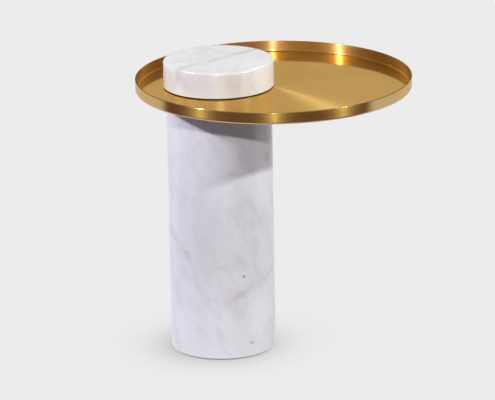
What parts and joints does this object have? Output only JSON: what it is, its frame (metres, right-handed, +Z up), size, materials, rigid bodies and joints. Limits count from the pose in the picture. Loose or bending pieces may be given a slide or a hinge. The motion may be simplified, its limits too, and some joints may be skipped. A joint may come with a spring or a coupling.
{
  "type": "side table",
  "caption": "Side table: a round brass tray with an upright rim, set off centre on a marble column, swivels between the column and a marble cap that screws down over it.",
  "frame": {"origin": "on the floor, at the foot of the column's axis", "axes": "+Z up along the column; +X from the column's axis towards the centre of the tray as pictured"},
  "size_m": [0.5, 0.5, 0.543],
  "materials": {
    "marble": "polished",
    "brass": "satin",
    "steel": "satin",
    "fastener_steel": "satin",
    "insert_brass": "satin",
    "rubber": "matte",
    "nylon": "matte"
  },
  "bodies": {
    "column": {"marble_column": "marble", "base_pad": "rubber", "bottom_plate": "steel", "top_plate": "steel", "bottom_gasket": "rubber", "top_gasket": "rubber", "bottom_washer": "fastener_steel", "top_washer": "fastener_steel", "bottom_nut": "fastener_steel", "top_nut": "fastener_steel", "tie_rod": "fastener_steel", "spindle_sleeve": "steel", "lower_thrust_ring": "nylon"},
    "tray": {"tray_pan": "brass", "tray_hub": "steel", "hub_bush": "nylon", "hub_screws": "fastener_steel"},
    "cap_ring": {"upper_thrust_ring": "nylon"},
    "cap": {"marble_cap": "marble", "cap_flange": "steel", "cap_flange_screws": "fastener_steel", "cap_inserts": "insert_brass"}
  },
  "joints": [
    {"name": "tray_swivel", "type": "hinge", "parent": "column", "child": "tray", "pos_m": [0, 0, 0.4925], "axis": [0, 0, 1], "continuous": true},
    {"name": "cap_rise", "type": "slide", "parent": "column", "child": "cap_ring", "axis": [0, 0, 1], "range_m": [0, 0.0193]},
    {"name": "cap_turn", "type": "hinge", "parent": "cap_ring", "child": "cap", "pos_m": [0, 0, 0.519], "axis": [0, 0, 1], "range_deg": [0, 3960]}
  ],
  "couplings": [
    {"joint": "cap_rise", "follows": "cap_turn", "m_per_rad": 0.00027852}
  ]
}
